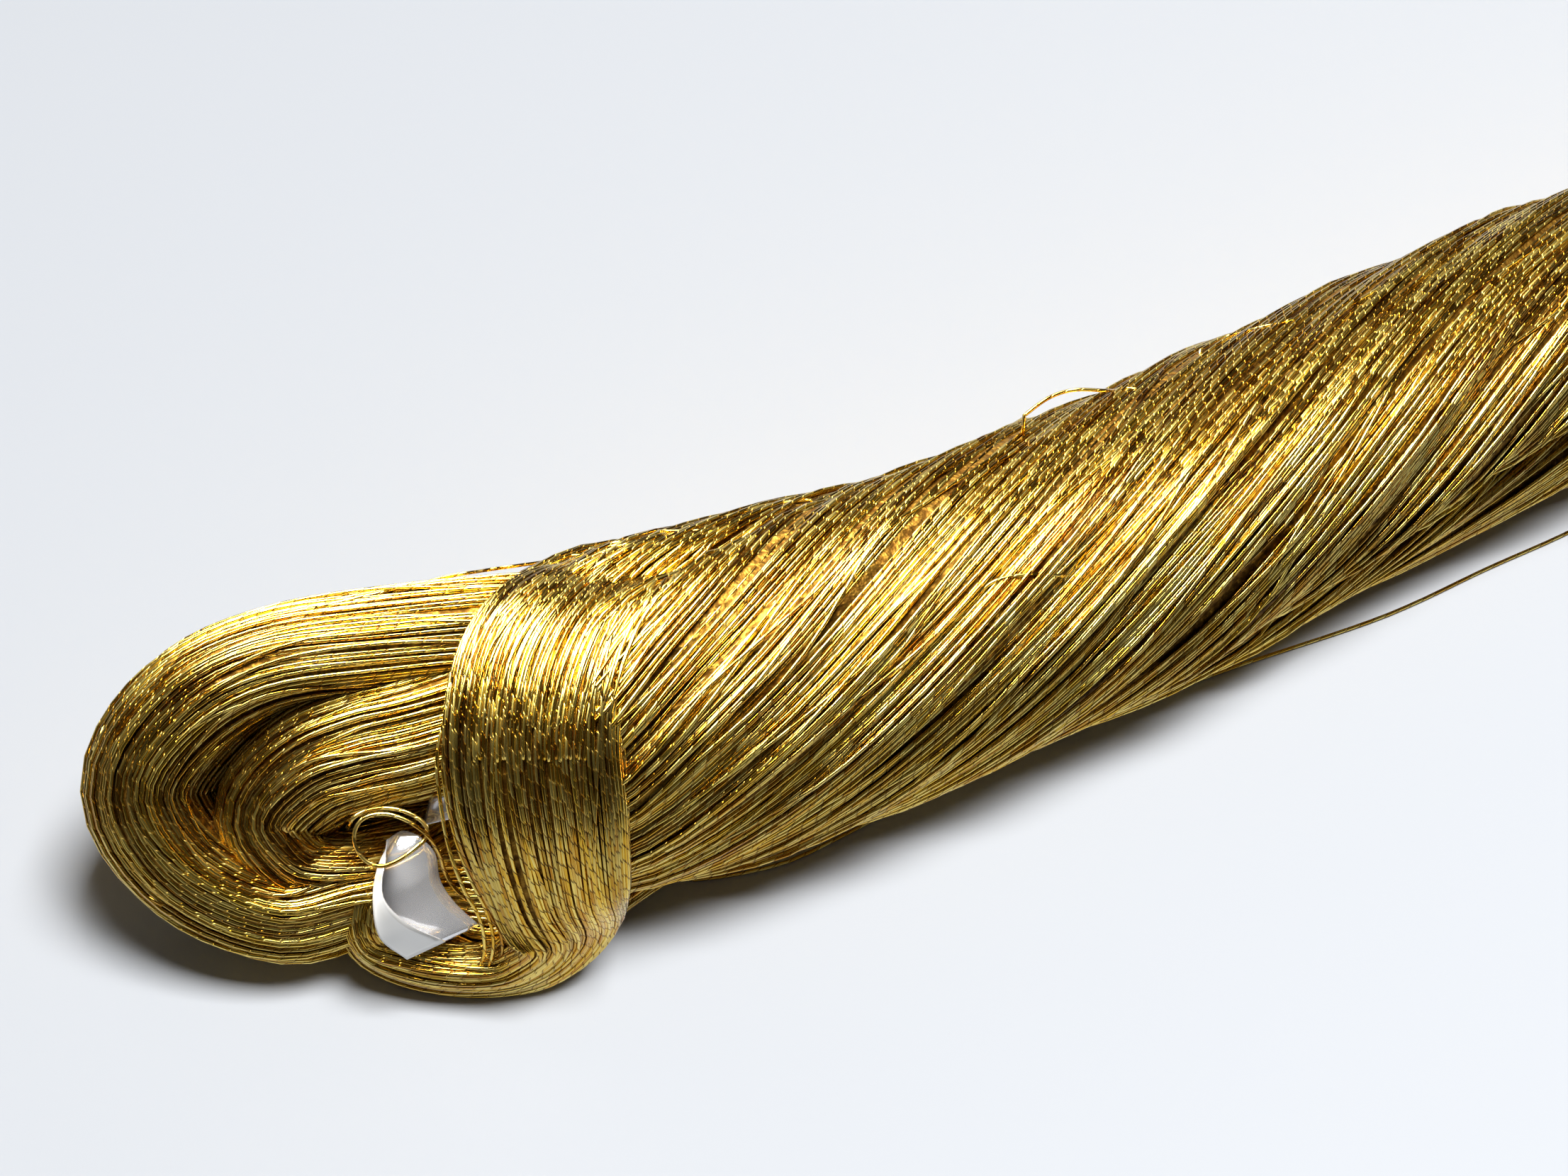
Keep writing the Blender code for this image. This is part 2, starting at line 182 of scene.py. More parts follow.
def wrapGroup():  # a thin metal strip wound round a core, with a seam at each turn
    group, into, out = newGroup(
        "strip wound round a core",
        [("Turn length", "Float", thread["wrap"]), ("Facet tilt", "Float", 1.0), ("Seam depth", "Float", 0.6)],
        [("Height", "Float"), ("Seam", "Float"), ("Facet", "Float"), ("Tone", "Float")],
    )
    w = Wiring(group)
    place = w.add("SeparateXYZ")
    w.link(w.add("UVMap", uv_map="UVMap").outputs["UV"], place.inputs[0])
    tone = w.add("Attribute", attribute_name="tone").outputs["Fac"]
    turns = w.math("DIVIDE", place.outputs[0], into.outputs["Turn length"])
    start = w.math("MULTIPLY", tone, wrapShape["stagger"])
    turns = w.math("ADD", w.math("ADD", turns, place.outputs[1]), start)
    number = w.math("FLOOR", turns)
    along = w.math("FRACT", turns)
    noise = w.add("TexWhiteNoise", noise_dimensions="1D")
    w.link(w.math("ADD", number, w.math("MULTIPLY", tone, wrapShape["shuffle"])), noise.inputs["W"])
    facet = noise.outputs["Value"]
    middle = w.math("SUBTRACT", along, 0.5)
    edge = w.math("ABSOLUTE", middle)
    seam = w.span(edge, wrapShape["seamFrom"], wrapShape["seamTo"])
    tilt = w.math("MULTIPLY", w.math("SUBTRACT", facet, 0.5), middle)
    tilt = w.math("MULTIPLY", tilt, into.outputs["Facet tilt"])
    bulge = w.math("MULTIPLY", w.math("MULTIPLY", middle, middle), wrapShape["bulge"])
    dip = w.math("MULTIPLY", seam, w.math("MULTIPLY", into.outputs["Seam depth"], wrapShape["dip"]))
    w.link(w.math("ADD", w.math("ADD", tilt, bulge), dip), out.inputs["Height"])
    w.link(seam, out.inputs["Seam"])
    w.link(facet, out.inputs["Facet"])
    w.link(tone, out.inputs["Tone"])
    return group


wrap = wrapGroup()


def newMaterial(name, metallic, roughness):
    material = bpy.data.materials.new(name)
    material.use_nodes = True
    shader = material.node_tree.nodes["Principled BSDF"]
    shader.inputs["Metallic"].default_value = metallic
    shader.inputs["Roughness"].default_value = roughness
    return material, Wiring(material.node_tree), shader


def wrappedGold(name, settings):  # metal-wrapped thread
    material, w, shader = newMaterial(name, settings["metallic"], settings["roughness"])
    turn = w.add("Group", node_tree=wrap)
    turn.inputs["Turn length"].default_value = thread["wrap"]
    turn.inputs["Facet tilt"].default_value = settings["tilt"]
    turn.inputs["Seam depth"].default_value = settings["seam"]
    worn = w.add("TexNoise", noise_dimensions="3D")
    w.link(w.add("TexCoord").outputs["Object"], worn.inputs["Vector"])
    worn.inputs["Scale"].default_value = settings["wornScale"]
    worn.inputs["Detail"].default_value = settings["wornDetail"]
    colour = w.mix(turn.outputs["Tone"], settings["deep"], settings["pale"])
    fresh = w.span(turn.outputs["Facet"], 0.2, 0.9, 0, settings["brightShare"])
    colour = w.mix(fresh, colour, settings["bright"])
    dull = w.span(worn.outputs["Fac"], 0.45, 0.75, 0, settings["agedShare"])
    colour = w.mix(dull, colour, settings["aged"])
    seam = w.math("MULTIPLY", turn.outputs["Seam"], settings["coreShare"])
    colour = w.mix(seam, colour, settings["core"])
    depth = w.add("Attribute", attribute_name="depth").outputs["Fac"]  # painted shade: 1 deep between small bundles, where the colour goes towards gap
    colour = w.mix(w.math("MULTIPLY", depth, settings["paintedShadeShare"]), colour, settings["gap"])
    w.link(colour, shader.inputs["Base Color"])
    smooth, rough = settings["facetRoughness"]
    rough = w.span(turn.outputs["Facet"], 0.0, 1.0, smooth, rough)
    added = w.math("MULTIPLY", turn.outputs["Seam"], settings["seamRoughness"])
    w.link(w.math("ADD", rough, added), shader.inputs["Roughness"])
    bump = w.add("Bump")
    bump.inputs["Strength"].default_value = 1.0
    bump.inputs["Distance"].default_value = settings["bump"]
    w.link(turn.outputs["Height"], bump.inputs["Height"])
    w.link(bump.outputs["Normal"], shader.inputs["Normal"])
    shader.inputs["Coat Weight"].default_value = settings["coat"]
    shader.inputs["Coat Roughness"].default_value = settings["coatRoughness"]
    return material


goldFinish = {
    "metallic": 1.0, "roughness": 0.17, "facetRoughness": (0.10, 0.29), "seamRoughness": 0.25,
    "tilt": 0.20, "seam": 0.45, "bump": 0.00020, "coat": 0.28, "coatRoughness": 0.12,
    "wornScale": 90, "wornDetail": 3,
    "deep": (0.42, 0.180, 0.006), "pale": (0.74, 0.47, 0.034), "bright": (0.95, 0.81, 0.24),
    # gap is the colour of the painted shade deep between small bundles
    "aged": (0.34, 0.13, 0.006), "core": (0.13, 0.045, 0.002), "gap": (0.06, 0.020, 0.002),
    "brightShare": 0.65, "agedShare": 0.35, "coreShare": 0.75, "paintedShadeShare": 0.75,
}
goldThread = wrappedGold("gold wrapped thread", goldFinish)

# painted shade: the threads inside the bundle are coloured far darker than the gold outside
insideShadeFinish = {
    "metallic": 1.0, "roughness": 0.42, "scale": 1400, "detail": 2,
    "dark": (0.07, 0.03, 0.004), "light": (0.22, 0.115, 0.016),
    "dull": 0.6, "shiny": 0.35, "bump": 0.0002,
}


def shadedInside(name, settings):  # the threads deeper in the bundle, seen only between the outer ones, coloured dark as painted shade
    material, w, shader = newMaterial(name, settings["metallic"], settings["roughness"])
    coords = w.add("TexCoord").outputs["Object"]
    fine = w.add("TexNoise", noise_dimensions="3D")
    w.link(coords, fine.inputs["Vector"])
    fine.inputs["Scale"].default_value = settings["scale"]
    fine.inputs["Detail"].default_value = settings["detail"]
    colour = w.mix(w.span(fine.outputs["Fac"], 0.35, 0.7), settings["dark"], settings["light"])
    w.link(colour, shader.inputs["Base Color"])
    rough = w.span(fine.outputs["Fac"], 0.3, 0.8, settings["dull"], settings["shiny"])
    w.link(rough, shader.inputs["Roughness"])
    bump = w.add("Bump")
    bump.inputs["Distance"].default_value = settings["bump"]
    w.link(fine.outputs["Fac"], bump.inputs["Height"])
    w.link(bump.outputs["Normal"], shader.inputs["Normal"])
    return material


hank = frame["nodes"]["hank"]
hank.data.materials.clear()
hank.data.materials.append(shadedInside("inner threads in painted shade", insideShadeFinish))
faces = [list(p.vertices) for p in hank.data.polygons]
skin = BVHTree.FromPolygons([v.co for v in hank.data.vertices], faces)  # what the threads are laid on
print("materials made")


# Threads are curves with a round bevel, turned into meshes that keep the run along each thread.
# Each row of a line is a point, and its painted shade from lying deep between small bundles, from 0 to 1.
def threadPiece(name, lines, diameter, seed):
    tones = np.random.default_rng(seed).random(len(lines))
    curve = bpy.data.curves.new(name, "CURVE")
    curve.dimensions = "3D"
    curve.bevel_depth = diameter / 2 * mm
    curve.bevel_resolution = thread["sides"]
    for line in lines:
        spline = curve.splines.new("POLY")
        spline.points.add(len(line) - 1)
        spline.points.foreach_set("co", np.column_stack([line[:, :3] * mm, np.ones(len(line))]).ravel())
    laid = bpy.data.objects.new(name, curve)
    scene.collection.objects.link(laid)
    bpy.context.view_layer.update()
    mesh = bpy.data.meshes.new_from_object(laid.evaluated_get(bpy.context.evaluated_depsgraph_get()))
    bpy.data.objects.remove(laid)
    around = 4 + 2 * thread["sides"]
    runs = np.repeat(np.concatenate([lengthAlong(line[:, :3]) for line in lines]), around)
    depth = np.repeat(np.concatenate([line[:, 3] for line in lines]), around)
    tone = np.repeat(np.concatenate([np.full(len(line), t) for line, t in zip(lines, tones)]), around)
    corner = np.zeros(len(mesh.loops), np.int32)
    mesh.loops.foreach_get("vertex_index", corner)
    places = np.zeros(len(mesh.loops) * 2, np.float32)
    mesh.uv_layers["UVMap"].data.foreach_get("uv", places)
    places[0::2] = runs[corner]
    mesh.uv_layers["UVMap"].data.foreach_set("uv", places)
    mesh.attributes.new("tone", "FLOAT", "POINT").data.foreach_set("value", tone.astype(np.float32))
    mesh.attributes.new("depth", "FLOAT", "POINT").data.foreach_set("value", depth.astype(np.float32))
    shape = bmesh.new()
    shape.from_mesh(mesh)
    bmesh.ops.holes_fill(shape, edges=[e for e in shape.edges if e.is_boundary], sides=around)
    shape.to_mesh(mesh)
    shape.free()
    mesh.polygons.foreach_set("use_smooth", np.ones(len(mesh.polygons), bool))
    piece = bpy.data.objects.new(name, mesh)
    scene.collection.objects.link(piece)
    piece.data.materials.append(goldThread)
    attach(piece, "root")
    print(name, len(lines), "threads,", 2 * around * (len(runs) // around - len(lines)), "triangles")
    return piece


# The two loose cords.
slackThread = {
    "name": "slack_thread", "node": "loose_thread", "length": 0.104, "far_end": "object",
    "steps": 12, "spacing": 1.9, "seed": 1,
    "route": ((-62.5, -7.2, 0.3), (-60.4, -8.7, 0.2), (-58.0, -9.8, 0.2), (-52.5, -11.0, 0.2),
              (-46.4, -10.7, 0.2), (-39.8, -10.1, 0.2), (-28.9, -9.6, 0.2), (-19.8, -9.9, 0.2),
              (-10.3, -10.3, 0.2), (1.4, -11.2, 0.2), (7.3, -11.3, 0.2), (15.1, -10.9, 0.2),
              (23.7, -10.7, 0.2), (30.0, -10.0, 0.2), (35.0, -8.3, 0.4), (39.5, -5.9, 1.0)),
}
curledThread = {
    "name": "curled_thread", "node": "curled_end", "length": 0.0305, "far_end": "bare",
    "steps": 12, "spacing": 0.4, "seed": 2,
    "route": fromLean((
        (-32.1, -17.6, 8.0), (-31.9, -17.5, 9.4), (-31.5, -17.2, 10.8), (-31.1, -16.6, 11.6),
        (-30.2, -16.1, 11.3), (-28.6, -15.9, 11.4), (-27.0, -16.3, 11.5), (-25.9, -17.1, 11.6),
        (-25.8, -18.0, 11.7), (-26.5, -18.7, 12.0), (-27.6, -19.5, 12.3), (-28.9, -20.0, 12.4),
        (-30.1, -19.6, 12.3), (-30.8, -18.5, 12.4), (-30.8, -17.4, 12.6), (-30.1, -16.5, 12.7),
        (-28.6, -16.2, 12.8), (-27.0, -16.7, 12.8), (-25.6, -17.8, 12.5), (-24.9, -19.2, 11.5),
        (-24.7, -20.6, 10.2), (-24.1, -21.8, 9.8), (-23.2, -22.8, 9.5),
    )),
}


def looseCord(spec):
    fine = smoothRows(spec["route"], spec["steps"])
    fine[:, 2] = np.maximum(fine[:, 2], thread["diameter"] / 2 + thread["offTable"])
    run = lengthAlong(fine)
    at = np.linspace(0, run[-1], round(run[-1] / spec["spacing"]) + 1)
    line = np.stack([np.interp(at, run, fine[:, k]) for k in range(3)], axis=1) + toCentre
    # a loose cord takes no painted shade
    unshadedLine = np.column_stack([line, np.zeros(len(line))])
    piece = threadPiece(spec["name"], [unshadedLine], thread["diameter"], spec["seed"])
    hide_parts(spec["node"])


for spec in (slackThread, curledThread):
    looseCord(spec)


# How a bundle's threads are laid: how far they stand from its skin, and how they wander.
laying = {
    "uneven": 0.14,  # of the space between threads
    "wanderRuns": (61.0, 23.0), "liftRuns": (37.0, 15.0), "drift": 0.012,
    "shortest": 3, "touching": 1e-6, "sectionSteps": 721,
    "shade": 0.25, "shadeReach": 2.4, "shadePower": 1.5,  # painted shade: how dark the threads in the dips between small bundles are coloured
    "endSteps": ((0.8, 0.25), (0.45, 0.4), (0.1, 0.45)),  # share of the way out, and rise, at a blunt end
    "toneSeed": 100,
    "reliefMean": 0.6,  # so that rounded bundles go about as far out as in
}
beddedLayer = {
    "lift": 0.02, "uneven": 0.04, "waves": (0.03, 0.01), "wander": (0.35, 0.12), "deepest": 0.45,
}
looseLayer = {
    "lift": 0.17, "uneven": 0.08, "waves": (0.08, 0.03), "wander": (0.9, 0.3), "deepest": 0.3,
}


def lineAround(centres, outward, turn, seats, radiusOf, squash):
    tangent = unitRows(np.gradient(centres, axis=0))
    out = unitRows(outward - (outward * tangent).sum(1, keepdims=True) * tangent)
    side = np.cross(tangent, out)
    angle = seats + turn[None, :]
    radius = radiusOf(angle, seats)
    return (centres[None] + (radius * np.cos(angle))[..., None] * out[None]
            + (radius * squash * np.sin(angle))[..., None] * side[None])


def slowWaves(draw, run, count, lengths, sizes):  # one gentle wave for each thread
    total = np.zeros((count, len(run)))
    for length, size in zip(lengths, sizes):
        phase = draw.random((count, 1)) * tau
        strength = size * draw.normal(0, 1, (count, 1))
        total += strength * np.sin(run[None] / length * tau + phase)
    return total


def clumps(draw, seats, run, orders, size):  # neighbours rise and sink together, as small bundles
    total = np.zeros_like(seats)
    for order in orders:
        phase = draw.random() * tau
        drift = draw.normal(0, laying["drift"])
        total += np.sin(order * seats + phase + drift * run[None])
    return size * total / sqrt(len(orders))


def cutVisible(points, depth, deepest):  # keeps the stretches that aren't buried in the hank
    lines = []
    # each row keeps its painted shade as a fourth column
    for row, sunk in zip(points, depth):
        row = row + toCentre
        row[:, 2] = np.maximum(row[:, 2], thread["diameter"] / 2)
        shown = []
        for place in row * mm:
            near, normal, _, gap = skin.find_nearest(place)
            rise = (Vector(place) - near).dot(normal)
            shown.append(gap < laying["touching"] or rise > -deepest * mm)
        shown = np.array(shown)
        grown = shown.copy()
        grown[1:] |= shown[:-1]
        grown[:-1] |= shown[1:]
        edges = np.flatnonzero(np.diff(np.concatenate([[0], grown.astype(int), [0]])))
        for start, end in zip(edges[0::2], edges[1::2]):
            if end - start > laying["shortest"]:
                lines.append(np.column_stack([row[start:end], sunk[start:end]]))
    return lines


def evenSeats(seats, radiusOf):  # the same length of skin between threads, however flat the section
    grid = np.linspace(0, tau, laying["sectionSteps"])[:, None]
    radius = radiusOf(grid, grid)
    x = radius * np.cos(grid)
    y = radius * np.sin(grid)
    step = np.hypot(np.diff(x, axis=0), np.diff(y, axis=0))
    run = np.vstack([np.zeros((1, x.shape[1])), np.cumsum(step, axis=0)])
    run *= tau / run[-1]
    columns = [np.interp(seats[:, k] % tau, run[:, k], grid[:, 0]) for k in range(seats.shape[1])]
    return np.stack(columns, axis=1)


def closeEnd(points, depth, centres, last):  # threads run in over a blunt end, to its middle
    tip, near, edge = (-1, -2, points[:, -1:]) if last else (0, 1, points[:, :1])
    off = unitRows(centres[tip] - centres[near])
    added = np.concatenate([centres[tip] + (edge - centres[tip]) * share + off * rise
                            for share, rise in laying["endSteps"]], axis=1)
    flat = np.repeat(depth[:, tip, None], len(laying["endSteps"]), axis=1)
    if last:
        return np.concatenate([points, added], axis=1), np.concatenate([depth, flat], axis=1)
    return np.concatenate([added[:, ::-1], points], axis=1), np.concatenate([flat, depth], axis=1)


def layThreads(name, spec, centres, outward, turn, radiusOf, squash, seed, only=slice(None)):
    draw = np.random.default_rng(seed)
    run = lengthAlong(centres)
    lines = []
    for layer in spec["layers"]:
        count = layer["threads"]
        base = (np.arange(count) + draw.normal(0, laying["uneven"], count)) / count * tau
        spacing = tau / count
        wander = slowWaves(draw, run, count, laying["wanderRuns"], layer["wander"])
        seats = base[:, None] + spacing * wander
        if spec.get("flat"):
            seats = evenSeats(seats, radiusOf)
        lift = layer["lift"] + draw.normal(0, layer["uneven"], (count, 1))
        lift = lift + slowWaves(draw, run, count, laying["liftRuns"], layer["waves"])
        swell = clumps(draw, seats, run, spec["clumps"], spec["clumpSize"])
        points = lineAround(centres, outward, turn, seats,
                            lambda angle, seat: radiusOf(angle, seat) + lift + swell, squash)
        # painted shade: threads that sink between small bundles are given a darker colour
        depth = np.clip(laying["shade"] - swell / (laying["shadeReach"] * spec["clumpSize"]), 0, 1)
        depth = depth ** laying["shadePower"]
        points, depth = points[:, only], depth[:, only]
        if spec.get("blunt"):
            points, depth = closeEnd(points, depth, centres[only], only.stop is None)
        lines += cutVisible(points, depth, layer["deepest"])
    threadPiece(name, lines, thread["laid"], seed + laying["toneSeed"])


def relief(seat, count, depth):
    return depth * (np.abs(np.sin(seat * count / 2)) - laying["reliefMean"])


# The twisted body.
body = {
    "step": 2.4, "bendSteps": 16, "rowSteps": 8, "blunt": True,
    "overlap": 0.8, "roundness": 4.0, "offset": 0.424, "plainPast": -0.5, "least": 1e-3,
    "bundles": 9, "relief": 0.5, "foldAt": 81.0, "foldSquash": 0.82, "foldSlot": 0.4,
    "clumps": (17, 26, 41), "clumpSize": 0.17,
    "layers": ({**beddedLayer, "threads": 180}, {**looseLayer, "threads": 75}),
}
# x, y, z, radius, angle of the front ply, turn of the front threads, turn of the back threads
axisRows = (
    (-71, -0.4, 13.2, 8.6, 0, 1.6, 1.4), (-68, -0.6, 12.8, 11.6, 4, 1.6, 1.4),
    (-61, -1.1, 12.4, 12.9, 13, 1.6, 1.2), (-48, -2.6, 12.2, 12.7, 32, 1.6, 1.0),
    (-20, -2.8, 11.6, 12.1, 67, 1.6, 0.8), (12, 0.2, 11.2, 11.7, 95, 1.6, 0.8),
    (29, 1.2, 11.1, 11.6, 108, 1.6, 0.8), (54, 1.6, 10.6, 11.1, 137, 1.6, 1.0),
    (81, 1.0, 10.2, 10.7, 172, 1.6, 1.6),
)


def layBody():
    rows = smoothRows(axisRows, body["rowSteps"])
    down = np.arange(rows[0, 0], body["foldAt"], body["step"])
    bend = np.radians(np.linspace(0, 180, body["bendSteps"]))
    place = np.concatenate([down, np.full(len(bend), body["foldAt"]), down[::-1]])
    swing = np.concatenate([np.zeros(len(down)), bend, np.full(len(down), pi)])
    columns = [np.interp(place, rows[:, 0], rows[:, k]) for k in range(1, 7)]
    y, z, radius, plyAngle, layFront, layBack = columns
    lay = np.where(swing < pi / 2, layFront, layBack)
    offset = body["offset"] * radius
    facing = np.radians(plyAngle)
    radial = np.stack([np.zeros_like(facing), -np.cos(facing), np.sin(facing)], axis=1)
    outward = np.cos(swing)[:, None] * radial + np.sin(swing)[:, None] * np.array([1, 0, 0])
    centres = np.stack([place, y, z], axis=1) + offset[:, None] * outward
    turn = -np.radians(np.concatenate([[0], np.cumsum(np.diff(lengthAlong(centres)) * lay[1:])]))
    squash = 1 - (1 - body["foldSquash"]) * np.sin(swing)
    overlap = np.where(place < body["foldAt"], body["overlap"], -body["foldSlot"])

    def radiusOf(angle, seat):
        disc = np.sqrt(radius**2 - (offset * np.sin(angle)) ** 2) - offset * np.cos(angle)
        flat = (offset + overlap / 2) / np.maximum(-np.cos(angle), body["least"])
        power = body["roundness"]
        both = (disc**-power + flat**-power) ** (-1 / power)
        ridged = np.cos(angle) > body["plainPast"]  # plain where the plies meet
        return both + relief(seat, body["bundles"], body["relief"]) * ridged

    half = len(down) + body["bendSteps"] // 2
    plies = (("front_ply_threads", slice(0, half + 1), 11), ("back_ply_threads", slice(half, None), 12))
    for name, only, seed in plies:
        layThreads(name, body, centres, outward, turn, radiusOf, squash, seed, only)


layBody()

# The loop's bundles: along, rise, towards the camera, half width, half thickness.
loopLay = {"steps": 5, "turn": 0.5, "bundles": 5, "relief": 0.3, "firstSeed": 21}
loops = {
    "outer_loop_threads": {
        "clumps": (7, 13, 21), "clumpSize": 0.15,
        "layers": ({**beddedLayer, "threads": 94}, {**looseLayer, "threads": 40}),
        "rows": (
            (-9, -2.8, 1, 4.5, 5.5), (-19, -2.9, 6, 3.8, 5.5), (-28.9, -4.0, 7, 3.9, 5.5),
            (-37.7, -5.6, 7, 3.9, 5.5), (-43.5, -9.2, 7, 4.6, 5.5), (-46.7, -14.8, 7, 4.6, 5.3),
            (-43.5, -20.5, 6.0, 4.3, 5.2), (-37.0, -23.5, 5.2, 4.0, 5.0), (-31.0, -22.2, 4.6, 3.9, 5.0),
            (-25.5, -21.7, 2.6, 5.2, 4.8), (-20.5, -21.0, 2.0, 7.4, 5.5), (-13.0, -15.0, 1.0, 8.0, 7.0),
        ),
    },
    "inner_loop_threads": {
        "clumps": (6, 11, 19), "clumpSize": 0.14,
        "layers": ({**beddedLayer, "threads": 82}, {**looseLayer, "threads": 34}),
        "rows": (
            (-12, -5.0, 5, 5.0, 4.6), (-25.3, -9.9, 8.0, 4.7, 4.6), (-30.3, -11.3, 8.0, 4.7, 4.6),
            (-34.8, -13.2, 7.6, 4.5, 4.4), (-37.9, -16.8, 7.0, 4.1, 4.2), (-35.6, -20.4, 6.4, 2.7, 4.0),
            (-31.5, -20.9, 5.8, 2.3, 3.8), (-27.0, -20.0, 3.5, 2.4, 3.8), (-22.0, -17.0, 1, 2.4, 3.8),
        ),
    },
    "eye_back_threads": {
        "flat": True, "clumps": (5, 9, 16), "clumpSize": 0.08,
        "layers": ({**beddedLayer, "threads": 70},),
        "rows": (
            (-43.5, -15.0, 3.0, 3.2, 2.2), (-38, -16.0, 2.6, 4.4, 2.2), (-32, -17.0, 2.0, 5.0, 2.5),
            (-24, -16.0, 1.0, 6.0, 3.0), (-18, -12.0, 0.0, 6.0, 4.0),
        ),
    },
}


def layLoop(name, spec, seed):
    rows = smoothRows(spec["rows"], loopLay["steps"])
    centres = fromLean(rows[:, :3])
    outward = np.tile(towards, (len(rows), 1))
    turn = np.radians(loopLay["turn"] * lengthAlong(centres))
    wide, thick = rows[:, 3], rows[:, 4]

    def radiusOf(angle, seat):
        oval = 1 / np.sqrt((np.sin(angle) / wide) ** 2 + (np.cos(angle) / thick) ** 2)
        return oval + relief(seat, loopLay["bundles"], loopLay["relief"])

    layThreads(name, spec, centres, outward, turn, radiusOf, 1.0, seed)


for seed, (name, spec) in enumerate(loops.items(), loopLay["firstSeed"]):
    layLoop(name, spec, seed)

# The band: along, rise, towards, half width, half thickness, and where its face looks.
band = {
    "steps": 5, "power": 3.0, "flat": True, "clumps": (4, 9, 14), "clumpSize": 0.08, "seed": 31,
    "layers": ({**beddedLayer, "threads": 90}, {**looseLayer, "threads": 44}),
    "rows": (
        (-8.4, -1.6, -5.5, 3.8, 1.2, 0, 0.9, -0.5), (-10.8, 0.4, 1.5, 4.2, 1.2, 0, 1, 0.1),
        (-13.4, -0.2, 7.8, 4.7, 1.2, 0, 0.8, 0.6), (-15.9, -2.6, 12.2, 5.5, 1.2, 0, 0.55, 0.8),
        (-17.3, -6.2, 14.8, 6.0, 1.2, 0, 0.3, 1), (-17.7, -11.2, 16.0, 6.1, 1.2, 0, 0, 1),
        (-17.2, -16.7, 15.0, 6.0, 1.2, 0, -0.3, 1), (-16.4, -22.0, 11.9, 5.2, 1.3, 0, -0.6, 0.8),
        (-16.2, -25.2, 8.6, 4.1, 1.4, 0.4, -0.8, 0.5), (-19.0, -27.7, 6.4, 3.3, 1.5, 0.1, -0.93, 0.4),
        (-22.8, -28.5, 5.6, 2.8, 1.5, 0, -0.93, 0.4), (-27.4, -28.0, 5.4, 2.6, 1.5, -0.2, -0.9, 0.4),
        (-30.8, -26.4, 6.0, 2.6, 1.3, -0.7, -0.6, 0.4), (-31.3, -23.4, 7.0, 2.8, 1.2, -0.9, 0.1, 0.45),
        (-29.2, -20.4, 5.6, 3.0, 1.3, -0.6, 0.5, 0.6), (-26.5, -17.4, 2.6, 3.0, 1.3, -0.5, 0.5, 0.7),
        (-23.0, -14.4, 0.0, 3.0, 1.3, -0.5, 0.5, 0.7),
    ),
}


def layBand():
    rows = smoothRows(band["rows"], band["steps"])
    centres = fromLean(rows[:, :3])
    outward = rows[:, 5:8] @ leanAxes()
    wide, thick = rows[:, 3], rows[:, 4]
    power = band["power"]

    def radiusOf(angle, seat):
        x = np.abs(np.sin(angle)) / wide
        y = np.abs(np.cos(angle)) / thick
        return (x**power + y**power) ** (-1 / power)

    untwisted = np.zeros(len(rows))
    layThreads("band_threads", band, centres, outward, untwisted, radiusOf, 1.0, band["seed"])


layBand()

# Threads whose paths are drawn over the picture and dropped on the skin.
picture = {"middle": (1106.0, 829.5), "focal": 3486.5}
byEye = {
    "steps": 8, "hangingSteps": 6, "smoothing": 2, "settling": 4, "strayLift": 0.2,
    "sunk": -0.35,  # an end goes in between its neighbours
    "seed": 41, "toneSeed": 141,
}
fan = {
    "threads": 46, "lift": (0.1, 0.3), "stagger": 0.25, "uneven": 2.5, "fullLength": 0.5,
    "left": ((868, 770), (806, 788), (736, 824), (682, 872), (652, 918), (638, 968), (633, 1020),
             (634, 1075)),
    "right": ((1046, 738), (1004, 772), (952, 826), (910, 880), (886, 935), (870, 987), (861, 1030),
              (858, 1075)),
}
strays = (
    ((262, 905), (225, 936), (172, 992), (140, 1050), (126, 1108), (131, 1162), (149, 1202),
     (190, 1245), (235, 1278)),
    ((440, 862), (500, 848), (564, 834), (620, 816), (675, 806), (751, 795), (805, 788), (860, 784)),
    ((800, 800), (830, 782), (858, 770), (897, 758), (943, 753), (985, 752), (1040, 745)),
    ((930, 772), (985, 745), (1040, 728), (1095, 714), (1150, 708)),
    ((1440, 590), (1478, 562), (1515, 550), (1560, 551), (1610, 552)),
    ((1380, 838), (1400, 823), (1430, 814), (1465, 811), (1500, 812)),
    ((1690, 500), (1725, 480), (1770, 468), (1830, 452)),
)
hanging = (  # along, rise, towards: loose beside the band, over the strip
    ((-23.9, -8.5, 14.6), (-24.5, -11.7, 15.2), (-24.4, -14.4, 15.2), (-23.9, -18.4, 14.0),
     (-23.0, -21.6, 12.6), (-22.0, -24.0, 11.2), (-21.9, -26.6, 9.4), (-22.9, -28.8, 7.6)),
    ((-23.4, -9.0, 15.2), (-24.0, -11.7, 15.8), (-23.9, -14.4, 15.6), (-23.3, -18.0, 14.3),
     (-22.4, -21.0, 12.9), (-21.4, -23.6, 11.4), (-21.2, -26.2, 9.8), (-22.0, -28.6, 8.0)),
    ((-23.3, -12.7, 16.0), (-23.3, -15.4, 15.6), (-22.7, -18.8, 14.2), (-21.7, -21.8, 12.6),
     (-20.7, -24.4, 11.0), (-20.6, -26.8, 9.2), (-21.6, -28.8, 7.4)),
)


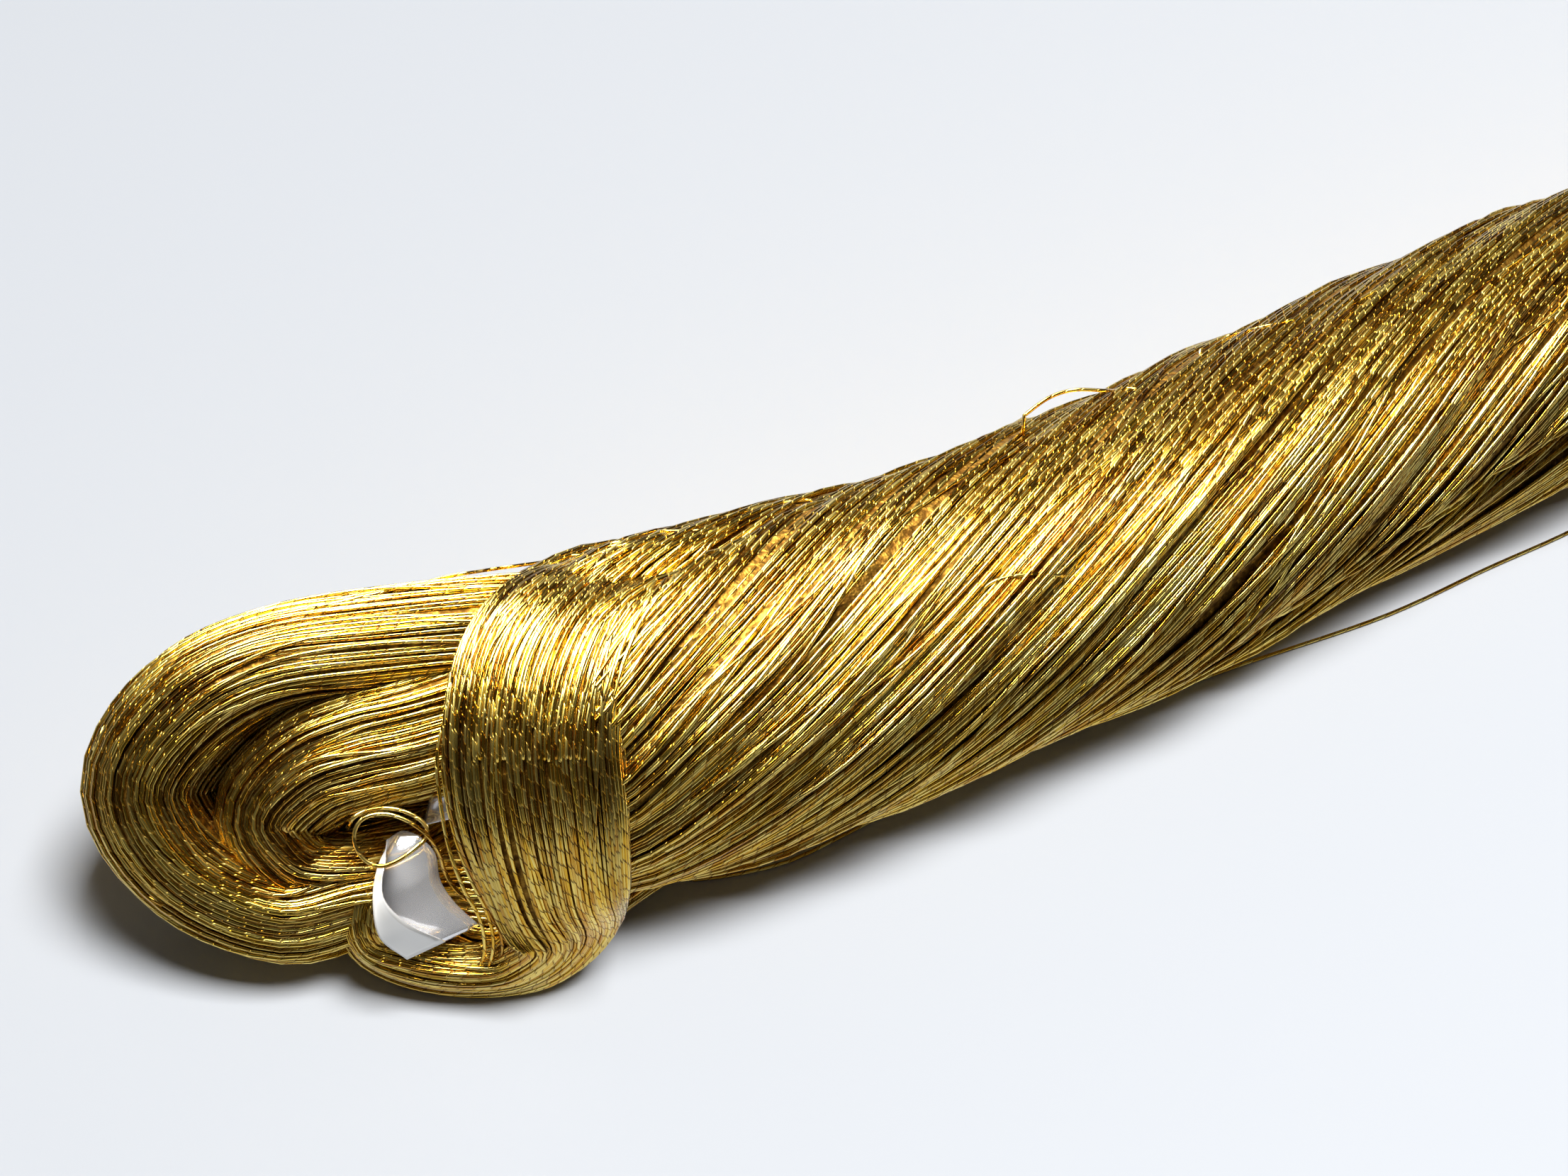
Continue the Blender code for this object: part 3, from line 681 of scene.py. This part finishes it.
def dropped(path, lift):  # a thread under a line drawn over the picture
    start = Vector(eye)
    places = []
    for x, y in smoothRows(path, byEye["steps"]) - picture["middle"]:
        way = Vector(right * x - upward * y - towards * picture["focal"]).normalized()
        hit = skin.ray_cast(start, way)[0]
        if hit is None:  # off the outline: the point of the ray that passes nearest
            hit = start + way * view["distance"] * mm
            for _ in range(byEye["settling"]):
                near = skin.find_nearest(hit)[0]
                hit = start + way * (near - start).dot(way)
        places.append(hit)
    places = np.array(places) / mm
    for _ in range(byEye["smoothing"]):
        places[1:-1] = (places[:-2] + 2 * places[1:-1] + places[2:]) / 4
    line = []
    for k, place in enumerate(places):
        near, normal, _, _ = skin.find_nearest(Vector(place * mm))
        above = (Vector(place * mm) - near).dot(normal) / mm
        rise = byEye["sunk"] if k in (0, len(places) - 1) else lift
        if above < rise or rise < 0:
            place = np.array(near) / mm + np.array(normal) * rise
        line.append((*place, 0.0))
    return np.array(line)


def layByEye():
    draw = np.random.default_rng(byEye["seed"])
    left, right = (np.array(fan[side], float) for side in ("left", "right"))
    lines = []
    for k in range(fan["threads"]):
        share = (k + draw.normal(0, fan["stagger"])) / (fan["threads"] - 1)
        path = left + (right - left) * share + draw.normal(0, fan["uneven"], 2)
        keep = len(path) if draw.random() > fan["fullLength"] else len(path) - 1
        lines.append(dropped(path[:keep], draw.uniform(*fan["lift"])))
    lines += [dropped(path, byEye["strayLift"]) for path in strays]
    for row in hanging:
        line = fromLean(smoothRows(row, byEye["hangingSteps"])) + toCentre
        lines.append(np.column_stack([line, np.zeros(len(line))]))
    threadPiece("stray_threads", lines, thread["laid"], byEye["toneSeed"])


layByEye()
print("threads laid")

# The metallised strip: three points across at each section, from near edge past the fold to far edge.
film = {
    "thickness": 0.08, "steps": 6, "cloudScale": 160, "cloudDetail": 2, "cloudDark": 0.82, "bump": 0.0010,
    "mirror": (0.95, 0.95, 0.97), "pearl": (0.80, 0.79, 0.76),
}
strips = {
    "film_strip": {
        "node": "foil_strip",
        "rows": (((-29.0, -18.4, 9.8), (-28.0, -17.8, 8.9), (-26.7, -18.1, 9.2)),
                 ((-28.8, -19.6, 11.4), (-29.2, -20.1, 10.5), (-25.5, -19.4, 9.4)),
                 ((-28.8, -22.2, 12.4), (-29.5, -22.6, 11.2), (-25.1, -21.4, 9.4)),
                 ((-27.0, -24.2, 12.2), (-29.2, -25.3, 10.8), (-24.0, -23.1, 9.2)),
                 ((-24.5, -25.6, 11.0), (-27.5, -27.1, 9.6), (-22.3, -24.7, 9.0))),
    },
    "film_tail": {
        "node": "foil_tail",
        "rows": (((-26.4, -17.4, 8.8), (-26.3, -16.7, 8.6), (-25.9, -15.3, 9.0)),
                 ((-24.9, -17.0, 9.6), (-24.8, -16.2, 9.5), (-24.4, -15.0, 10.0)),
                 ((-22.8, -16.4, 10.4), (-22.7, -15.8, 10.3), (-22.3, -14.8, 10.7))),
    },
}


def filmMaterial(name, metallic, colour, roughness, crease):
    material, w, shader = newMaterial(name, metallic, roughness)
    coords = w.add("TexCoord").outputs["Object"]
    cloud = w.add("TexNoise", noise_dimensions="3D")
    w.link(coords, cloud.inputs["Vector"])
    cloud.inputs["Scale"].default_value = film["cloudScale"]
    cloud.inputs["Detail"].default_value = film["cloudDetail"]
    darker = tuple(c * film["cloudDark"] for c in colour)
    w.link(w.mix(w.span(cloud.outputs["Fac"], 0.3, 0.7), colour, darker), shader.inputs["Base Color"])
    bump = w.add("Bump")
    bump.inputs["Strength"].default_value = crease
    bump.inputs["Distance"].default_value = film["bump"]
    w.link(cloud.outputs["Fac"], bump.inputs["Height"])
    w.link(bump.outputs["Normal"], shader.inputs["Normal"])
    return material


mirrorFilm = filmMaterial("mirror side of the film", 0.75, film["mirror"], 0.12, 0.35)
pearlFilm = filmMaterial("pearl side of the film", 0.45, film["pearl"], 0.28, 0.4)


def layFilm(name, spec):
    steps = film["steps"]
    rows = smoothRows(np.array(spec["rows"], float).reshape(len(spec["rows"]), 9), steps)
    across = np.array([fromLean(smoothRows(row.reshape(3, 3), steps)) for row in rows]) + toCentre
    length, width = across.shape[:2]
    shape = bmesh.new()
    bmesh.ops.create_grid(shape, x_segments=length - 1, y_segments=width - 1, size=0.5)
    for vert in shape.verts:
        i = round((vert.co.x + 0.5) * (length - 1))
        j = round((vert.co.y + 0.5) * (width - 1))
        vert.co = across[i, j] * mm
    for face in shape.faces:
        face.smooth = True
    mesh = bpy.data.meshes.new(name)
    shape.to_mesh(mesh)
    shape.free()
    piece = bpy.data.objects.new(name, mesh)
    scene.collection.objects.link(piece)
    mesh.materials.append(mirrorFilm)
    mesh.materials.append(pearlFilm)  # the second slot, which the far wall takes
    wall = piece.modifiers.new("thickness", "SOLIDIFY")
    wall.thickness = film["thickness"] * mm
    wall.offset = 0
    wall.material_offset = 1
    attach(piece, "root")
    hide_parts(spec["node"])


for name, spec in strips.items():
    layFilm(name, spec)
print("film laid")


# A pale table in a dim room. One soft light, behind and above, draws the glints. One is for the table.
studio = {
    "table": (0.52, 0.53, 0.55), "tableSize": 3.0, "tableRoughness": 0.6, "under": -0.0001,
    "room": (0.93, 0.95, 1.0), "fill": 0.06, "aim": (-0.02, 0, 0),
}
lamps = {
    "softbox": {"at": (-0.085, 0.345, 0.52), "size": (0.48, 0.56), "power": 33.0,
                "colour": (1, 0.99, 0.97), "table": "EXCLUDE"},
    "ceiling": {"at": (0.35, -0.25, 1.45), "size": (0.55, 0.55), "power": 40.0,
                "colour": (0.96, 0.98, 1), "table": "INCLUDE"},
}
shape = bmesh.new()
bmesh.ops.create_grid(shape, x_segments=1, y_segments=1, size=studio["tableSize"])
floorMesh = bpy.data.meshes.new("table")
shape.to_mesh(floorMesh)
shape.free()
floor = bpy.data.objects.new("table", floorMesh)
scene.collection.objects.link(floor)
floor.location = (0, 0, studio["under"])
pale, _, shader = newMaterial("pale table", 0.0, studio["tableRoughness"])
shader.inputs["Base Color"].default_value = (*studio["table"], 1)
floorMesh.materials.append(pale)


def softLight(name, spec):
    data = bpy.data.lights.new(name, "AREA")
    data.shape = "RECTANGLE"
    data.size, data.size_y = spec["size"]
    data.energy = spec["power"]
    data.color = spec["colour"]
    lamp = bpy.data.objects.new(name, data)
    scene.collection.objects.link(lamp)
    lamp.location = spec["at"]
    way = Vector(studio["aim"]) - Vector(spec["at"])
    lamp.rotation_euler = way.to_track_quat("-Z", "Y").to_euler()
    group = bpy.data.collections.new(name + " receivers")
    group.objects.link(floor)
    lamp.light_linking.receiver_collection = group
    group.collection_objects[0].light_linking.link_state = spec["table"]


for name, spec in lamps.items():
    softLight(name, spec)
world = bpy.data.worlds.new("room")
scene.world = world
world.use_nodes = True
background = world.node_tree.nodes["Background"]
background.inputs["Color"].default_value = (*studio["room"], 1)
background.inputs["Strength"].default_value = studio["fill"]
scene.view_settings.view_transform = "Standard"
print("studio set")
